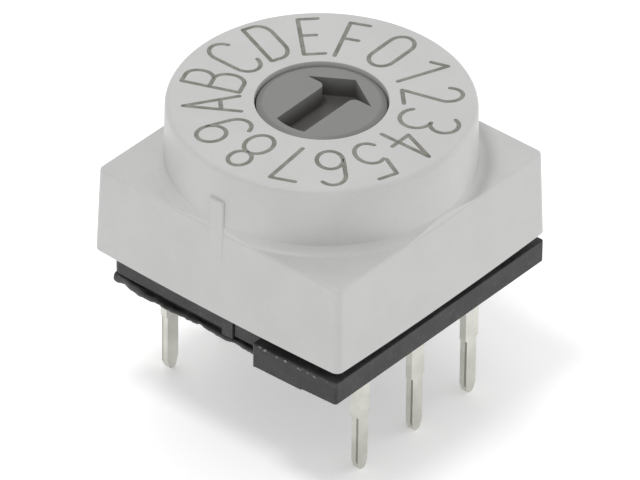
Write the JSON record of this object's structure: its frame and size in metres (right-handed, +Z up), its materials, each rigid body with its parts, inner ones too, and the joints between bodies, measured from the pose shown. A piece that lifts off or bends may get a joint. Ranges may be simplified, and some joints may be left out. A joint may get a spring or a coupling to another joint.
{
  "type": "rotary DIP switch",
  "caption": "Sealed rotary code switch for a circuit board: square housing with a round dial collar, arrow-slot rotor and two rows of solder pins.",
  "frame": {"origin": "centre of the solder-pin pattern on the plane of the board, which is the underside of the base's rail", "axes": "+Z up along the rotor's axis, +Y towards the dial's zero and along the pin rows, +X towards the side with the rail"},
  "size_m": [0.0098, 0.0098, 0.0104],
  "materials": {
    "housing_plastic": "fine matt moulded light grey",
    "rotor_plastic": "matt moulded mid grey",
    "seal_rubber": "matt black",
    "disc_laminate": "laminate with raised plated tracks",
    "spring_steel": "bright strip",
    "base_plastic": "matt moulded black with fine specks",
    "potting": "uneven black casting resin",
    "tinned_terminal": "dull matt tin plating",
    "contact_gold": "gold-plated spring bronze"
  },
  "bodies": {
    "switch_body": {"housing": "housing_plastic", "rotor_seal": "seal_rubber", "detent_spring_a": "spring_steel", "detent_spring_b": "spring_steel", "base": "base_plastic", "potting_seal": "potting", "terminal_1": "tinned_terminal", "terminal_2": "tinned_terminal", "terminal_4": "tinned_terminal", "terminal_8": "tinned_terminal", "terminal_common_a": "tinned_terminal", "terminal_common_b": "tinned_terminal", "contact_1": "contact_gold", "contact_2": "contact_gold", "contact_4": "contact_gold", "contact_8": "contact_gold", "contact_common_a": "contact_gold", "contact_common_b": "contact_gold"},
    "rotor_unit": {"rotor": "rotor_plastic", "code_disc": "disc_laminate"}
  },
  "joints": [
    {"name": "rotor_turn", "type": "hinge", "parent": "switch_body", "child": "rotor_unit", "pos_m": [0, 0, 0.005], "axis": [0, 0, 1], "continuous": true}
  ]
}
